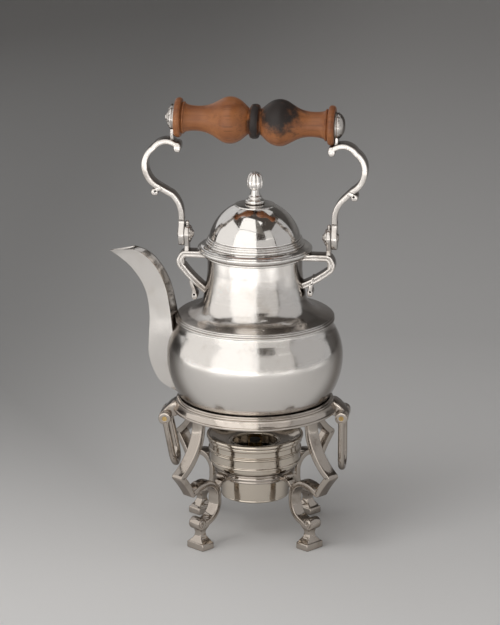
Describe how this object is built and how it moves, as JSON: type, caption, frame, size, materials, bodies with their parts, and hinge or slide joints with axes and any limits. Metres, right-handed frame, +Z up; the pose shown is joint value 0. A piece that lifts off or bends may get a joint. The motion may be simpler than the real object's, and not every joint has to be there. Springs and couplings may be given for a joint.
{
  "type": "tea kettle on a spirit lamp stand",
  "caption": "Silver tea kettle with a faceted swan spout, domed lid and swinging turned-wood handle, on a four-legged scrolled stand with a lift-out spirit lamp and drop handles.",
  "frame": {"origin": "middle of the whole object's box, on the floor under the four feet; the kettle's upright axis is 13.3 mm towards +X from it", "axes": "+Z up, -X towards the spout, the swing handle's hinge line runs along X"},
  "size_m": [0.1992, 0.1414, 0.3451],
  "materials": {
    "silver_kettle": null,
    "silver_lid": null,
    "silver_handle": null,
    "silver_stand": null,
    "silver_lamp": null,
    "grip_wood": "turned fruitwood, oiled, charred dark on one bulb and on the centre bead",
    "iron": "plain iron rod",
    "brass_pin": "dull brass rivet",
    "wick_cotton": "woven cotton wick"
  },
  "bodies": {
    "stand": {"stand_ring": "silver_stand", "lamp_cradle": "silver_stand", "leg_back_right": "silver_stand", "leg_back_left": "silver_stand", "leg_front_left": "silver_stand", "leg_front_right": "silver_stand", "lamp_bracket_back_right": "silver_stand", "lamp_bracket_back_left": "silver_stand", "lamp_bracket_front_left": "silver_stand", "lamp_bracket_front_right": "silver_stand", "knuckle_left": "silver_stand", "knuckle_right": "silver_stand", "drop_pin_left": "brass_pin", "drop_pin_right": "brass_pin"},
    "kettle": {"kettle_body": "silver_kettle", "kettle_shoulder": "silver_kettle", "kettle_foot": "silver_kettle", "shoulder_moulding": "silver_kettle", "neck_rim": "silver_kettle", "spout": "silver_kettle", "bracket_left": "silver_handle", "bracket_right": "silver_handle", "hinge_plate_left": "silver_handle", "hinge_plate_right": "silver_handle", "hinge_pin_left": "silver_handle", "hinge_pin_right": "silver_handle", "rosette_left": "silver_handle", "rosette_right": "silver_handle"},
    "lid": {"lid_flange": "silver_lid", "lid_step_ring": "silver_lid", "lid_bezel": "silver_lid", "lid_dome": "silver_lid", "finial": "silver_lid", "finial_nut": "silver_lid"},
    "bail": {"bail_arm_left": "silver_handle", "bail_arm_right": "silver_handle", "grip": "grip_wood", "grip_rod": "iron", "rod_cap_left": "silver_handle", "rod_cap_right": "silver_handle"},
    "lamp": {"lamp_cup": "silver_lamp", "lamp_lid_plate": "silver_lamp", "lamp_wick_tube": "silver_lamp", "lamp_wick": "wick_cotton", "lamp_drum": "silver_lamp"},
    "lamp_cover": {"lamp_cover": "silver_lamp"},
    "drop_left": {"drop_handle_left": "silver_stand"},
    "drop_right": {"drop_handle_right": "silver_stand"}
  },
  "joints": [
    {"name": "kettle_lift", "type": "slide", "parent": "stand", "child": "kettle", "axis": [0, 0, 1], "range_m": [0, 0.06]},
    {"name": "lid_lift", "type": "slide", "parent": "kettle", "child": "lid", "axis": [0, 0, 1], "range_m": [0, 0.018]},
    {"name": "bail_swing", "type": "hinge", "parent": "kettle", "child": "bail", "pos_m": [0.01333, 0, 0.2373], "axis": [1, 0, 0], "range_deg": [-95, 95]},
    {"name": "lamp_lift", "type": "slide", "parent": "stand", "child": "lamp", "axis": [0, 0, 1], "range_m": [0, 0.014]},
    {"name": "lamp_cover_lift", "type": "slide", "parent": "lamp", "child": "lamp_cover", "axis": [0, 0, 1], "range_m": [0, 0.008]},
    {"name": "drop_left_swing", "type": "hinge", "parent": "stand", "child": "drop_left", "pos_m": [-0.05416, -0.00829, 0.0946], "axis": [0, 1, 0], "range_deg": [-5, 121]},
    {"name": "drop_right_swing", "type": "hinge", "parent": "stand", "child": "drop_right", "pos_m": [0.08082, 0.00829, 0.0946], "axis": [0, -1, 0], "range_deg": [-15, 110]}
  ]
}
